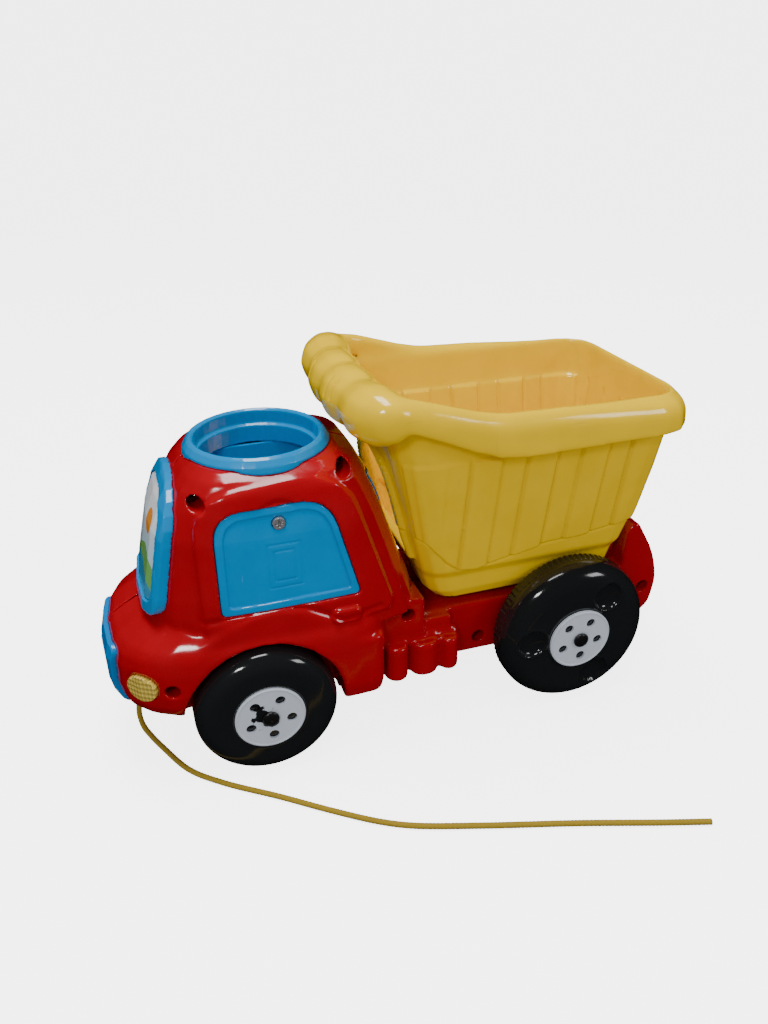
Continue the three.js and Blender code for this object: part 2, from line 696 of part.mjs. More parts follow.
function cell(z) {
  const profile = [[0, 0], [7.1, 0], [7.1, 49], [2.6, 49], [2.6, 50.5], [0, 50.5]];
  const geometry = new THREE.LatheGeometry(profile.map(([r, y]) => new THREE.Vector2(r, y)), 20);
  geometry.rotateZ(-Math.PI / 2);
  geometry.translate(44.6, 42, z);
  return toSolid(geometry);
}

function speaker() {
  const profile = [[0, -34], [9, -34], [9, -38], [14, -44], [18, -44], [18, -46.4], [0, -46.4]];
  return latheY(profile, 72, 128, 28);
}

function cordPath() {
  const points = [
    [CORD_EXIT.x, 0, 38], [CORD_EXIT.x + 0.5, 0, 32], [158.5, 0, 25], [160.5, 0.5, 17.5], [161, 2, 10.5],
    [159.5, 6, 4.8], [156, 12.5, 2.2], [149.7, 25.6, 2], [136.3, 49.5, 2], [119, 65.7, 2], [89.7, 86.5, 2],
    [63.6, 106, 2], [41.1, 121.3, 2], [24.6, 129.6, 2], [-9.9, 140.9, 2], [-62.4, 156.3, 2], [-105.6, 170, 2],
    [-130.9, 177.6, 2],
  ];
  return new THREE.CatmullRomCurve3(points.map((p) => new THREE.Vector3(...p)), false, 'centripetal');
}

function pullCord() {
  const section = new THREE.Shape();
  section.absarc(0, 0, CORD_RADIUS, 0, 2 * Math.PI);
  return new THREE.ExtrudeGeometry(section, { steps: 36, extrudePath: cordPath(), curveSegments: 4 });
}

const cordKnot = () => toSolid(new THREE.SphereGeometry(3.6, 10, 6).translate(CORD_EXIT.x, 0, 42.6));

// Finger nib in the slot with its slider plate above the floor, resting at the off end.
function powerSwitch() {
  const middle = -SWITCH.travel / 2;
  const nib = box(SWITCH.x - 3, SWITCH.x + 3, middle - 3, middle + 3, 35, 38.4);
  const plate = box(SWITCH.x - 5, SWITCH.x + 5, middle - 7, middle + 7, 38, 40);
  return nib.add(plate);
}

// ---------- assembly ----------
const shells = bodyShells();
const truck = new THREE.Group();
truck.add(
  node('body_shell_left', shells.left, RED),
  node('body_shell_right', shells.right, RED),
  node('funnel', funnel(), BLUE),
  node('ball_chute', ballChute(), BLUE),
  node('windscreen_frame', screenFrame(), BLUE),
  node('windscreen_button', screenButton(), WHITE),
  node('front_grille', grille(), GRILLE_BLUE),
  node('headlight_left', headlight(), AMBER),
  node('headlight_right', mirrorY(headlight()), AMBER),
  node('battery_cover', batteryCover(), BLUE),
  node('battery_cover_screw', screw(DOOR_SCREW.x, DOOR_SCREW.z, 48.6, 6, 3.5), STEEL),
  node('side_window_right', mirrorY(doorPanel()), BLUE),
  node('battery_box', batteryBox(), BLACK),
  node('battery_upper', cell(139.4), CELL),
  node('battery_lower', cell(122.6), CELL),
  node('battery_spring_contact', box(38.6, 43.8, 36, 45, 116, 146), STEEL),
  node('battery_button_contact', box(95.9, 101.4, 36, 45, 116, 146), STEEL),
  node('circuit_board', box(104.5, 106.1, -28, 28, 84, 116), GREEN),
  node('speaker', speaker(), GREY),
  node('power_switch', powerSwitch(), BLACK),
  node('pull_cord', pullCord(), ROPE),
  node('cord_knot', cordKnot(), ROPE),
  node('tipping_bed', tippingBed(), YELLOW),
  node('hinge_pin', rodY(HINGE.x, HINGE.z, -HINGE.half, HINGE.half, HINGE.radius), STEEL),
  ...SCREWS.map(([x, z, place]) => node(`body_screw_${place}`, screw(x, z, 18.4, 26, 3.6), STEEL)),
  ...wheelSet(FRONT_WHEEL, 'front'),
  ...wheelSet(REAR_WHEEL, 'rear'),
);

truck.position.x = CENTRE_SHIFT;

export default truck;
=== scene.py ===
import json
import math

import bmesh
import bpy
import numpy as np
from mathutils import Matrix, Vector


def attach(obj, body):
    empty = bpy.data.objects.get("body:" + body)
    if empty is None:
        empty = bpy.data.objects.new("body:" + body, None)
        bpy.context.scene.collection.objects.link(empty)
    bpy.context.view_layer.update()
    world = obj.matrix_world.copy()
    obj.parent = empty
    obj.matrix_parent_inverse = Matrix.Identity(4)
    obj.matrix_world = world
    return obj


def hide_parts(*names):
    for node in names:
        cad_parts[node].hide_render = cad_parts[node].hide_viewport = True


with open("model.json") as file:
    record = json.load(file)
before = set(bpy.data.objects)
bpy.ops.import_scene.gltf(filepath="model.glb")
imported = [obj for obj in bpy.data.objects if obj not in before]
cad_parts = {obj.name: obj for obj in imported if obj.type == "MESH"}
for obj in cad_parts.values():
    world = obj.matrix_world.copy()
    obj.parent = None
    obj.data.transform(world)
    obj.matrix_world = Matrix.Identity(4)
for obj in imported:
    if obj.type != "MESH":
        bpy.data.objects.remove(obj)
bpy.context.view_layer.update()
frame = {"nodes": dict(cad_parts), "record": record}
NODES = frame["nodes"]
RECORD = frame["record"]
BODY_OF = {node: body for body, nodes in RECORD["behaviour"]["bodies"].items() for node in nodes}
SLOT_OF = {part["node"]: part["material_slot"] for part in RECORD["subparts"]}

MM = 0.001
SHIFT = 2.6  # mm from the outlines' own x to the frame's x
FRONT_AXLE = (90.6, 41.8)  # x and z in mm, in the frame
REAR_AXLE = (-107.0, 49.6)

# ---------- camera ----------
LOOK_AZIMUTH = math.radians(16.99)
LOOK_DOWN = math.radians(27.18)
ROLL = math.radians(-0.906)
CAMERA_PLACE = (0.1416, 0.4415, 0.3723)
FOCAL_LENGTH = 29.88  # mm, on a 36 mm sensor
FRAME_SHIFT = (0.0090, -0.0112)


def add_camera():
    down, turn = LOOK_DOWN, LOOK_AZIMUTH
    ahead = Vector((-math.sin(turn) * math.cos(down), -math.cos(turn) * math.cos(down), -math.sin(down)))
    level = ahead.cross(Vector((0, 0, 1))).normalized()
    upright = level.cross(ahead)
    right = level * math.cos(ROLL) + upright * math.sin(ROLL)
    up = upright * math.cos(ROLL) - level * math.sin(ROLL)
    data = bpy.data.cameras.new("camera")
    data.lens = FOCAL_LENGTH
    data.sensor_width = 36
    data.shift_x, data.shift_y = FRAME_SHIFT
    camera = bpy.data.objects.new("camera", data)
    facing = Matrix((right, up, -ahead)).transposed().to_4x4()
    camera.matrix_world = Matrix.Translation(CAMERA_PLACE) @ facing
    bpy.context.collection.objects.link(camera)
    bpy.context.scene.camera = camera


# ---------- materials ----------
class Nodes:
    """Short hand for building one node material."""

    def __init__(self, name):
        self.material = bpy.data.materials.new(name)
        self.material.use_nodes = True
        self.tree = self.material.node_tree
        self.shader = self.tree.nodes["Principled BSDF"]
        place = self.tree.nodes.new("ShaderNodeTexCoord")
        self.where = place.outputs["Object"]

    def put(self, target, value):
        if isinstance(value, bpy.types.NodeSocket):
            self.tree.links.new(value, target)
        else:
            target.default_value = value

    def math(self, kind, a, b=0.0):
        node = self.tree.nodes.new("ShaderNodeMath")
        node.operation = kind
        for socket, value in zip(node.inputs, (a, b)):
            self.put(socket, value)
        return node.outputs[0]

    def noise(self, scale, detail=3.0, stretch=None):
        node = self.tree.nodes.new("ShaderNodeTexNoise")
        node.inputs["Scale"].default_value = scale
        node.inputs["Detail"].default_value = detail
        where = self.where
        if stretch:
            mapping = self.tree.nodes.new("ShaderNodeMapping")
            mapping.inputs["Scale"].default_value = stretch[0]
            mapping.inputs["Rotation"].default_value = stretch[1]
            self.tree.links.new(self.where, mapping.inputs["Vector"])
            where = mapping.outputs[0]
        self.tree.links.new(where, node.inputs["Vector"])
        return node.outputs["Fac"]

    def range(self, value, low, high, to_low, to_high):
        node = self.tree.nodes.new("ShaderNodeMapRange")
        node.interpolation_type = "SMOOTHSTEP"
        for name, number in (("From Min", low), ("From Max", high), ("To Min", to_low), ("To Max", to_high)):
            node.inputs[name].default_value = number
        self.tree.links.new(value, node.inputs["Value"])
        return node.outputs["Result"]

    def mix(self, factor, a, b):
        node = self.tree.nodes.new("ShaderNodeMix")
        node.data_type = "RGBA"
        self.put(node.inputs[0], factor)
        self.put(node.inputs[6], a)
        self.put(node.inputs[7], b)
        return node.outputs[2]

    def split(self):
        node = self.tree.nodes.new("ShaderNodeSeparateXYZ")
        self.tree.links.new(self.where, node.inputs[0])
        return node.outputs

    def bump(self, height, strength, distance):
        node = self.tree.nodes.new("ShaderNodeBump")
        node.inputs["Strength"].default_value = strength
        node.inputs["Distance"].default_value = distance
        self.tree.links.new(height, node.inputs["Height"])
        self.tree.links.new(node.outputs[0], self.shader.inputs["Normal"])


def colour(red, green, blue):
    """Linear colour of an 8-bit display colour."""
    shares = (v / 255 for v in (red, green, blue))
    return tuple(((v + 0.055) / 1.055) ** 2.4 for v in shares) + (1,)


def scaled(shade, factor):
    return tuple(min(1.0, v * factor) for v in shade[:3]) + (1,)


ORANGE_PEEL = 0.06
SCRATCH_SHARE = 0.45
SCRATCH_DEPTH = 0.3


def moulded_finish(m, base, roughness, scratch_tone=1.5):
    """Toy plastic: faint colour drift, hairline scratches, scuffed gloss and a slight orange peel.

    The base is a colour, or a socket that holds one, which has no drift and no paler scratches."""
    drift = m.range(m.noise(38, 4), 0.35, 0.65, 0.0, 1.0)
    body = m.mix(drift, scaled(base, 0.94) if isinstance(base, tuple) else base, base)
    one_way = m.range(m.noise(260, 2, ((1, 1, 0.04), (0.5, 0.3, 0))), 0.70, 0.74, 0.0, 1.0)
    other_way = m.range(m.noise(230, 2, ((0.05, 1, 1), (0, 0.4, 0.7))), 0.70, 0.74, 0.0, 1.0)
    patchy = m.range(m.noise(24, 3), 0.50, 0.66, 0.0, 1.0)
    scratches = m.math("MULTIPLY", m.math("MAXIMUM", one_way, other_way), patchy)
    light = scaled(base, scratch_tone) if isinstance(base, tuple) else base
    m.put(m.shader.inputs["Base Color"], m.mix(m.math("MULTIPLY", scratches, SCRATCH_SHARE), body, light))
    handled = m.range(m.noise(60, 5), 0.3, 0.75, roughness * 0.75, roughness * 1.25)
    m.put(m.shader.inputs["Roughness"], m.math("ADD", handled, m.math("MULTIPLY", scratches, 0.15)))
    peel = m.math("MULTIPLY", m.noise(420, 1), ORANGE_PEEL)
    m.bump(m.math("SUBTRACT", peel, m.math("MULTIPLY", scratches, SCRATCH_DEPTH)), 0.35, 0.0004)
    m.shader.inputs["IOR"].default_value = 1.5
    return m.material


def gloss(name, base, roughness, scratch_tone=1.5):
    """Moulded plastic under a thin clear coat."""
    m = Nodes(name)
    m.shader.inputs["Coat Weight"].default_value = 0.35
    m.shader.inputs["Coat Roughness"].default_value = 0.08
    return moulded_finish(m, base, roughness, scratch_tone)


def metal(name, base, roughness):
    """Steel with a fine grain along one way."""
    m = Nodes(name)
    m.shader.inputs["Metallic"].default_value = 0.7
    grain = m.noise(900, 2, ((1, 0.08, 1), (0, 0, 0)))
    m.put(m.shader.inputs["Base Color"], m.mix(grain, scaled(base, 0.8), base))
    m.put(m.shader.inputs["Roughness"], m.range(grain, 0.3, 0.7, roughness * 0.7, roughness * 1.3))
    m.bump(grain, 0.2, 0.0002)
    return m.material


WAFFLE_RATE = 1000.0  # radians in a metre of x + z - y and of x - z - y


def waffle_lens(name, base):
    """Pyramid grid of a headlight lens, with painted shade that darkens the grid's valleys."""
    m = Nodes(name)
    x, y, z = m.split()
    across = m.math("SINE", m.math("MULTIPLY", m.math("SUBTRACT", m.math("ADD", x, z), y), WAFFLE_RATE))
    along = m.math("SINE", m.math("MULTIPLY", m.math("SUBTRACT", m.math("SUBTRACT", x, z), y), WAFFLE_RATE))
    grid = m.math("MULTIPLY", across, along)
    # The base colour drops to 0.62 where the grid is low: painted shade in the valleys between the pyramids.
    m.put(m.shader.inputs["Base Color"], m.mix(m.range(grid, -0.6, 0.8, 0, 1), scaled(base, 0.62), base))
    m.put(m.shader.inputs["Roughness"], m.range(m.noise(200), 0.3, 0.7, 0.18, 0.34))
    m.bump(grid, 0.9, 0.0009)
    m.shader.inputs["Coat Weight"].default_value = 0.4
    return m.material


def landscape_print(name):
    """Plain printed panel: sky over two rolling hills with a sun."""
    m = Nodes(name)
    x, y, z = m.split()
    white, sky = colour(240, 243, 246), colour(196, 224, 240)
    far, near, sun = colour(120, 180, 95), colour(60, 150, 190), colour(240, 150, 50)
    wave = m.math("MULTIPLY", m.math("SINE", m.math("MULTIPLY", y, 130)), 0.004)
    back = m.math("SUBTRACT", z, m.math("ADD", wave, 0.133))
    wave = m.math("MULTIPLY", m.math("SINE", m.math("ADD", m.math("MULTIPLY", y, 95), 1.2)), 0.005)
    front = m.math("SUBTRACT", z, m.math("ADD", wave, 0.122))
    dy, dz = m.math("SUBTRACT", y, 0.012), m.math("SUBTRACT", z, 0.151)
    disc = m.math("SQRT", m.math("ADD", m.math("MULTIPLY", dy, dy), m.math("MULTIPLY", dz, dz)))
    shade = m.mix(m.range(z, 0.135, 0.165, 0, 1), sky, white)
    shade = m.mix(m.range(disc, 0.0068, 0.0072, 1, 0), shade, sun)
    shade = m.mix(m.range(back, -0.0002, 0.0002, 1, 0), shade, far)
    shade = m.mix(m.range(front, -0.0002, 0.0002, 1, 0), shade, near)
    m.shader.inputs["Coat Weight"].default_value = 0.3
    return moulded_finish(m, shade, 0.26)


def braid(name, base):
    """Fibre with fine fuzz and patches of soil."""
    m = Nodes(name)
    fuzz = m.noise(1500, 4)
    soil = m.range(m.noise(30, 3), 0.45, 0.7, 0, 0.5)
    m.put(m.shader.inputs["Base Color"], m.mix(soil, m.mix(fuzz, scaled(base, 0.6), base), scaled(base, 0.7)))
    m.shader.inputs["Roughness"].default_value = 0.85
    m.shader.inputs["Sheen Weight"].default_value = 0.1
    m.bump(fuzz, 0.6, 0.0004)
    return m.material


HUB_WEAR_AHEAD = 2.6  # mm from the front axle to the middle of the worn patch


def worn_hub(name, base, bare):
    """Printed white hub whose print is rubbed off beside the front left cap."""
    m = Nodes(name)
    x, y, z = m.split()
    dx = m.math("SUBTRACT", x, (FRONT_AXLE[0] + HUB_WEAR_AHEAD) * MM)
    dz = m.math("SUBTRACT", z, FRONT_AXLE[1] * MM)
    away = m.math("SQRT", m.math("ADD", m.math("MULTIPLY", dx, dx), m.math("MULTIPLY", dz, dz)))
    ragged = m.math("ADD", away, m.math("MULTIPLY", m.math("SUBTRACT", m.noise(170, 4), 0.5), 0.020))
    rubbed = m.math("MULTIPLY", m.range(ragged, 0.0064, 0.0072, 1, 0), m.range(y, 0.0, 0.001, 0, 1))
    return moulded_finish(m, m.mix(rubbed, base, bare), 0.34)


def all_finishes():
    """The material of each slot in the record."""
    return {
        "red_shell": gloss("red_shell", (0.43, 0.003, 0.010, 1), 0.16),
        "blue_plastic": gloss("blue_plastic", (0.0, 0.27, 0.64, 1), 0.2),
        "light_blue": gloss("light_blue", (0.0, 0.22, 0.60, 1), 0.2),
        "yellow_plastic": gloss("yellow_plastic", (1.0, 0.64, 0.0, 1), 0.17, scratch_tone=0.8),
        "amber_lens": waffle_lens("amber_lens", (1.0, 0.72, 0.12, 1)),
        "black_tyre": gloss("black_tyre", (0.012, 0.013, 0.014, 1), 0.12, scratch_tone=3.0),
        "black_plastic": gloss("black_plastic", (0.008, 0.008, 0.009, 1), 0.35, scratch_tone=2.0),
        "hub_white": worn_hub("hub_white", colour(206, 214, 226), colour(26, 26, 28)),
        "screen_print": landscape_print("screen_print"),
        "steel": metal("steel", (0.62, 0.62, 0.64, 1), 0.32),
        "board": gloss("board", colour(40, 110, 60), 0.45),
        "speaker_grey": gloss("speaker_grey", colour(84, 86, 90), 0.5),
        "cell_wrap": gloss("cell_wrap", colour(186, 138, 50), 0.3),
        "cord": braid("cord", (0.44, 0.29, 0.01, 1)),
    }


# ---------- meshes ----------
def link(name, mesh):
    made = bpy.data.objects.new(name, mesh)
    bpy.context.collection.objects.link(made)
    return made


def baked(obj):
    """Applies the object's modifiers to its mesh."""
    graph = bpy.context.evaluated_depsgraph_get()
    graph.update()
    mesh = bpy.data.meshes.new_from_object(obj.evaluated_get(graph))
    obj.modifiers.clear()
    obj.data = mesh


def softened(obj, rounds):
    """Rounds off the whole mesh a little."""
    soften = obj.modifiers.new("soften", "SMOOTH")
    soften.factor = 0.5
    soften.iterations = rounds
    baked(obj)


def carved(obj, shape):
    """Moves each vertex along its normal by shape(points, normals), in millimetres of the outlines."""
    mesh = obj.data
    count = len(mesh.vertices)
    points = np.empty(count * 3)
    normals = np.empty(count * 3)
    mesh.vertices.foreach_get("co", points)
    mesh.vertex_normals.foreach_get("vector", normals)
    points, normals = points.reshape(-1, 3), normals.reshape(-1, 3)
    local = points / MM - (SHIFT, 0, 0)
    moved = points + normals * (shape(local, normals) * MM)[:, None]
    mesh.vertices.foreach_set("co", moved.ravel())
    mesh.update()


def eased(obj, steps, weight):
    """Smooths away facets where weight(points) is near 1, and keeps the surface where it is 0.

    What the first pass takes off broad curves is smoothed in turn and given back, so sizes hold."""
    mesh = obj.data
    points = np.empty(len(mesh.vertices) * 3)
    mesh.vertices.foreach_get("co", points)
    points = points.reshape(-1, 3)
    share = weight(points / MM - (SHIFT, 0, 0))
    ends = np.empty(len(mesh.edges) * 2, dtype=np.int64)
    mesh.edges.foreach_get("vertices", ends)
    ends = ends.reshape(-1, 2)
    ends = ends[(share[ends] > 0).any(axis=1)]
    used, ends = np.unique(ends, return_inverse=True)
    one, other = ends.reshape(-1, 2).T
    one, other = np.concatenate([one, other]), np.concatenate([other, one])
    degree = np.bincount(one, minlength=len(used))[:, None]
    pull = 0.5 * share[used][:, None]

    def settled(field):
        for _ in range(steps):
            near = [np.bincount(one, field[other, k], minlength=len(used)) for k in range(3)]
            field = field + (np.stack(near, axis=1) / degree - field) * pull
        return field

    low = settled(points[used])
    points[used] = low + settled(points[used] - low)
    mesh.vertices.foreach_set("co", points.ravel())
    mesh.update()


SCREW_HOLES = ((113.5, 170.5), (34, 178.5), (139, 66), (-1.5, 80), (-52, 47), (-170, 60))
DOOR_EDGE = ((107.8, 108), (107.2, 166), (45, 167.5), (29.8, 108.5), (107.8, 108))
SWITCH_MIDDLE = (36, 0, 38)
WALL_EASE = 0.25  # share of the full easing that the bed's walls get


def bed_ease(p):
    """Full on the rim and canopy, a little on the walls, none at the ball's doorway and the lugs."""
    x, y, z = p.T
    above_walls = smooth((z - 184) / 5)
    off_doorway = smooth((z - 92) / 14 + (np.abs(y) > 20) * 1.0)
    return (WALL_EASE + (1 - WALL_EASE) * above_walls) * off_doorway


def shell_ease(p):
    """Full on the open panels, none near the screw holes, the door's edge, the switch and the seam."""
    x, y, z = p.T
    near_screw = np.min([np.hypot(x - a, z - b) for a, b in SCREW_HOLES], axis=0)
    share = smooth((near_screw - 6.5) / 3) * smooth((line_distance(x, z, DOOR_EDGE) - 3) / 3)
    near_switch = np.linalg.norm(p - SWITCH_MIDDLE, axis=1)
    return share * smooth((np.abs(y) - 1.5) / 3) * smooth((near_switch - 20) / 4)


def moulding(node, voxel, rounds, shape=None, ease=None):
    """A detailed copy of a CAD node with rounded moulded edges, standing for that node."""
    piece = link(node + "_moulding", NODES[node].data.copy())
    weld = piece.modifiers.new("weld", "WELD")
    weld.merge_threshold = 1e-6
    grid = piece.modifiers.new("grid", "REMESH")
    grid.mode = "VOXEL"
    grid.voxel_size = voxel * MM
    baked(piece)
    if ease:
        eased(piece, *ease)
    softened(piece, rounds)
    if shape:
        carved(piece, shape)
        softened(piece, 1)
    finish_piece(piece, node)


def finish_piece(piece, node):
    """Gives the piece its node's finish and body, and lets it stand for the node."""
    piece.data.materials.clear()
    piece.data.materials.append(FINISH[SLOT_OF[node]])
    piece.data.shade_smooth()
    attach(piece, BODY_OF[node])
    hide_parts(node)


# ---------- surface detail ----------
def smooth(value):
    """A soft step from 0 to 1."""
    t = np.clip(value, 0, 1)
    return t * t * (3 - 2 * t)


def line_distance(u, v, route):
    """Distance from each point to an open line in a plane."""
    nearest = np.full(len(u), 1e9)
    for (au, av), (bu, bv) in zip(route, route[1:]):
        du, dv = bu - au, bv - av
        t = np.clip(((u - au) * du + (v - av) * dv) / (du * du + dv * dv), 0, 1)
        nearest = np.minimum(nearest, np.hypot(u - au - t * du, v - av - t * dv))
    return nearest


def groove(distance, width, depth):
    """A round-bottomed groove, as a displacement in mm."""
    return -depth * np.exp(-((distance / width) ** 2) * 2)


PLANK_EDGES = (-133, -119, -101, -86, -67, -52, -33)
BACK_PLANK_EDGES = (-38, -19, 0, 19, 38)
PLANK_TOP = 183
PLANK_RAISED = 1.3
PLANK_STEP = 0.55
BED_WAVE = (
    (-150, 120), (-112, 114), (-90, 113), (-65, 107), (-44, 102.5),
    (-33, 104), (-25, 111), (-12, 127), (0, 132),
)
CANOPY_BUMP = 20  # mm from the middle plane to each inner bump
SLIT_FROM_BUMP = 3.2
SLIT_BOTTOM, SLIT_TOP = 211, 224


def bed_detail(p, n):
    """Planks pressed into the bed's walls, ending below in a wavy edge, and slits in the canopy's bumps."""
    x, y, z = p.T
    below_rim = smooth((PLANK_TOP - z) / 3)
    wave = np.interp(x, *np.array(BED_WAVE).T)
    walls = below_rim * smooth((np.abs(n[:, 1]) - 0.55) / 0.2)
    plank = np.searchsorted(PLANK_EDGES, x)
    raised = np.where(plank % 2 == 0, PLANK_STEP, -PLANK_STEP) * smooth((-18 - x) / 3)
    edge = np.min(np.abs(x[:, None] - np.array(PLANK_EDGES)), axis=1)
    planked = smooth((z - wave) / 1.2)
    relief = planked * (PLANK_RAISED + raised + groove(edge, 1.4, PLANK_RAISED))
    out = walls * (relief + groove(np.abs(z - wave), 1.3, 0.6))
    rear = below_rim * smooth((np.abs(n[:, 0]) - 0.6) / 0.2) * (x < -120) * smooth((z - 116) / 2)
    back_edge = np.min(np.abs(y[:, None] - np.array(BACK_PLANK_EDGES)), axis=1)
    slit = np.abs(np.abs(np.abs(y) - CANOPY_BUMP) - SLIT_FROM_BUMP)
    in_band = smooth((z - SLIT_BOTTOM) / 3) * smooth((SLIT_TOP - z) / 3)
    on_front = smooth((n[:, 0] - 0.3) / 0.3) * in_band * (x > 22)
    return out + rear * groove(back_edge, 1.3, 0.7) + on_front * groove(slit, 1.2, 0.9)


FENDER_CREASE = ((18, 97), (41.6, 94.7), (61.1, 105.8), (77.5, 110.1), (102.1, 107.8), (117.2, 105.4))
DOOR_HANDLE = ((35, 97), (43, 97))
DOOR_SCREW = (72.5, 157.5)
SWITCH_ROOM = 0.45  # mm taken off the floor plate on each side round the switch
AXLE_ROOM = 0.3  # mm taken off the bearing bores
FRONT_AXLE_LINE = (FRONT_AXLE[0] - SHIFT, FRONT_AXLE[1])
REAR_AXLE_LINE = (REAR_AXLE[0] - SHIFT, REAR_AXLE[1])


def shell_detail(p, n):
    """Crease over the front arch, door handle, notch over the door's screw, and room for what moves."""
    x, y, z = p.T
    side = smooth((np.abs(y) - 40) / 6) * smooth((np.abs(n[:, 1]) - 0.1) / 0.3)
    outward = np.sign(n[:, 1]) == np.sign(y)
    crease = groove(line_distance(x, z, FENDER_CREASE), 2.6, 1.3)
    handle = 2.8 * smooth((5.5 - line_distance(x, z, DOOR_HANDLE)) / 1.6)
    from_screw = np.hypot(x - DOOR_SCREW[0], z - DOOR_SCREW[1])
    notch = groove(np.abs(from_screw - 11.5), 2.4, 1.1) * smooth((z - 166.5) / 1.5)
    from_switch = np.linalg.norm(p - SWITCH_MIDDLE, axis=1)
    from_axle = np.min([np.hypot(x - a, z - b) for a, b in (FRONT_AXLE_LINE, REAR_AXLE_LINE)], axis=0)
    room = SWITCH_ROOM * smooth((18 - from_switch) / 3) + AXLE_ROOM * smooth((6 - from_axle) / 2)
    return side * outward * (crease + handle + notch) - room


COVER_MARK = (71, 133)


def ring_of_rectangle(x, z, middle, half_wide, half_high):
    """Distance to the outline of an upright rectangle."""
    u, v = np.abs(x - middle[0]) - half_wide, np.abs(z - middle[1]) - half_high
    outside = np.hypot(np.maximum(u, 0), np.maximum(v, 0))
    return np.abs(outside + np.minimum(np.maximum(u, v), 0))


def cover_detail(p, n):
    """Two plain rectangles, one in the other, pressed into the battery cover."""
    x, y, z = p.T
    facing = smooth((n[:, 1] - 0.6) / 0.2)
    return facing * sum(
        groove(ring_of_rectangle(x, z, COVER_MARK, *half), 0.7, 0.35) for half in ((9, 12.5), (5.6, 8.6)))


WHEELS = {
    "front": {"axle": FRONT_AXLE, "radius": 41.8, "face": 64.8, "inner": 38, "shoulder": 11, "boss": 66.6},
    "rear": {"axle": REAR_AXLE, "radius": 49.6, "face": 62.4, "inner": 41, "shoulder": 13, "boss": 65.4},
}
AXLE_RADIUS = 2.5
BORE_ROOM = 0.12
CAP_RADIUS = 4.9
DISC_RADIUS = 20.4
DISC_HOLE = {"radius": 3, "circle": 12.6, "first": math.radians(48)}
RIBS = 84
DIMPLE = {"radius": 9.2, "depth": 4.2, "circle": 32, "first": math.radians(4)}


def face_out(mesh):
    """Turns all the faces to point out."""
    bm = bmesh.new()
    bm.from_mesh(mesh)
    bmesh.ops.recalc_face_normals(bm, faces=bm.faces)
    bm.to_mesh(mesh)
    bm.free()


def turned(name, profile, axle, side, segments, shape=None):
    """Solid of revolution about an axle along Y. The profile is a closed loop of (radius, y), in mm."""
    angles = np.linspace(0, 2 * math.pi, segments, endpoint=False)
    radius, depth = (np.array(v, float)[:, None] for v in zip(*profile))
    if shape:
        radius, depth = shape(radius + 0 * angles, depth + 0 * angles, angles)
    x = axle[0] + radius * np.cos(angles)
    z = axle[1] + radius * np.sin(angles)
    y = side * (depth + 0 * angles)
    points = np.stack([x, y, z], axis=-1).reshape(-1, 3) * MM
    count = len(profile)
    faces = []
    for i in range(count):
        for j in range(segments):
            a, b = i * segments + j, i * segments + (j + 1) % segments
            c, d = (i + 1) % count * segments + (j + 1) % segments, (i + 1) % count * segments + j
            faces.append((a, b, c, d) if side < 0 else (d, c, b, a))
    mesh = bpy.data.meshes.new(name)
    mesh.from_pydata(points.tolist(), [], faces)
    face_out(mesh)
    return link(name, mesh)


def rod(name, middle, radius, start, end):
    """Closed round bar along Y, in mm."""
    low, high = sorted((start, end))
    count = 40
    ring = [(middle[0] + radius * math.cos(2 * math.pi * k / count),
             middle[1] + radius * math.sin(2 * math.pi * k / count)) for k in range(count)]
    points = [(x * MM, y * MM, z * MM) for y in (low, high) for x, z in ring]
    faces = [(k, (k + 1) % count, count + (k + 1) % count, count + k) for k in range(count)]
    faces += [tuple(range(count))[::-1], tuple(range(count, 2 * count))]
    mesh = bpy.data.meshes.new(name)
    mesh.from_pydata(points, [], faces)
    mesh.update()
    face_out(mesh)
    return link(name, mesh)


def spaced(profile, step=0.7, rounds=2):
    """The closed profile with points about a step apart and its corners eased."""
    out = []
    for (ar, ay), (br, by) in zip(profile, profile[1:] + profile[:1]):
        count = max(1, int(math.hypot(br - ar, by - ay) / step))
        out += [(ar + (br - ar) * k / count, ay + (by - ay) * k / count) for k in range(count)]
    ring = np.array(out)
    for _ in range(rounds):
        ring = 0.5 * ring + 0.25 * (np.roll(ring, 1, axis=0) + np.roll(ring, -1, axis=0))
    return [tuple(p) for p in ring]


def tyre_shape(spec, ribbed):
    """Moves a tyre's points: ribs, a line at the shoulder and three dimples on a ribbed one."""
    def shape(radius, depth, angles):
        edge = spec["face"] - spec["shoulder"]
        band = smooth((edge - 0.6 - depth) / 0.8) * smooth((radius - spec["radius"] + 2) / 1.5)
        if ribbed:
            radius = radius - band * (0.55 - 0.55 * smooth(0.5 + 1.4 * np.cos(angles * RIBS)))
            radius = radius - 0.7 * np.exp(-((depth - edge) / 0.6) ** 2) * smooth((radius - 40) / 3)
            outer_face = smooth((depth - spec["face"] + 4) / 2)
            for k in range(3):
                angle = DIMPLE["first"] + 2 * math.pi * k / 3
                du = radius * np.cos(angles) - DIMPLE["circle"] * math.cos(angle)
                dv = radius * np.sin(angles) - DIMPLE["circle"] * math.sin(angle)
                away = np.hypot(du, dv) / DIMPLE["radius"]
                hollow = DIMPLE["depth"] * np.sqrt(np.clip(1 - away ** 2, 0, 1))
                lip = 0.5 * np.exp(-((away - 1.12) / 0.06) ** 2)
                depth = depth + (lip - hollow) * outer_face
        return radius, depth
    return shape


